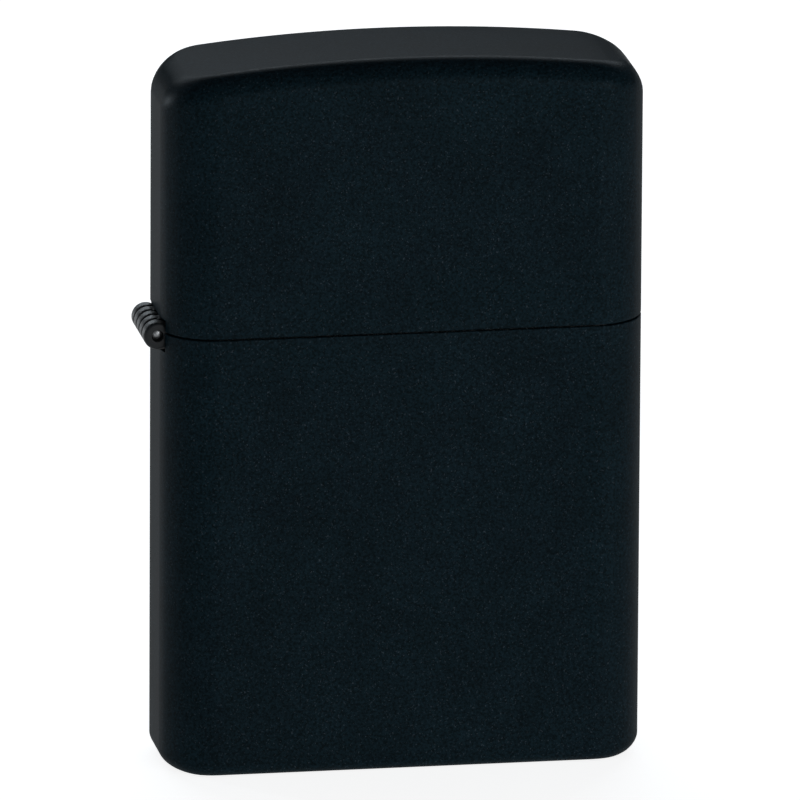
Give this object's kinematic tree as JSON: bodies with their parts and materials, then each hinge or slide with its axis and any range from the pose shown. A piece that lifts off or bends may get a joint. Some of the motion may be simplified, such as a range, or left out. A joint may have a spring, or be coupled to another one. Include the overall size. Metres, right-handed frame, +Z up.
{
  "type": "wick lighter",
  "caption": "Flip-top windproof wick lighter: matt black case with a side hinge round a steel insert with windscreen, cam, striking wheel, sprung flint, wick and packing.",
  "frame": {"origin": "centre of the case's footprint, on the plane it stands on", "axes": "+Z up towards the lid; X across the broad front with the hinge on the -X side; the front faces -Y"},
  "size_m": [0.0394, 0.0128, 0.0571],
  "materials": {
    "black_paint": "matt black powder coat with a fine grain, on brass sheet",
    "black_hinge": "black coat worn to warm grey on the knuckles",
    "pin_steel": "drawn steel pin",
    "insert_steel": "brushed stainless sheet",
    "cam_steel": "stamped and tumbled stainless",
    "rivet_steel": "stainless rivet with a rolled head",
    "spring_steel": "spring steel",
    "wheel_steel": "hardened and oiled steel with a cut knurl",
    "brass": "drawn brass",
    "flint_alloy": "sintered ferrocerium",
    "wick_cotton": "braided cotton over fine copper wire",
    "felt": "pressed wool felt",
    "cotton": "loose rayon and cotton wadding"
  },
  "bodies": {
    "base": {"case_base": "black_paint", "hinge_leaf_base": "black_hinge", "hinge_pin": "pin_steel", "fuel_can": "insert_steel", "windscreen": "insert_steel", "cam_rivet": "rivet_steel", "cam_spring": "spring_steel", "wheel_rivet": "rivet_steel", "flint_tube": "brass", "flint_spring": "spring_steel", "flint_screw": "brass", "wick": "wick_cotton", "felt_pad": "felt", "cotton_1": "cotton", "cotton_2": "cotton", "cotton_3": "cotton", "cotton_4": "cotton", "cotton_5": "cotton"},
    "lid": {"case_lid": "black_paint", "hinge_leaf_lid": "black_hinge"},
    "cam": {"cam": "cam_steel"},
    "wheel": {"striking_wheel": "wheel_steel"},
    "flint_follower": {"flint": "flint_alloy", "spring_tip": "brass"}
  },
  "joints": [
    {"name": "lid_hinge", "type": "hinge", "parent": "base", "child": "lid", "pos_m": [-0.0193, 0, 0.0351], "axis": [0, -1, 0], "range_deg": [0, 130]},
    {"name": "cam_pivot", "type": "hinge", "parent": "base", "child": "cam", "pos_m": [-0.0131, 0, 0.0382], "axis": [0, -1, 0], "range_deg": [0, 12], "deforming": ["cam_spring"]},
    {"name": "wheel_spin", "type": "hinge", "parent": "base", "child": "wheel", "pos_m": [0.0106, 0, 0.0449], "axis": [0, 1, 0], "continuous": true},
    {"name": "flint_feed", "type": "slide", "parent": "base", "child": "flint_follower", "axis": [0, 0, 1], "range_m": [-0.002, 0], "stiffness_N_per_m": 150, "deforming": ["flint_spring"]}
  ],
  "couplings": [
    {"joint": "cam_pivot", "follows": "lid_hinge", "ratio": 0.09}
  ]
}
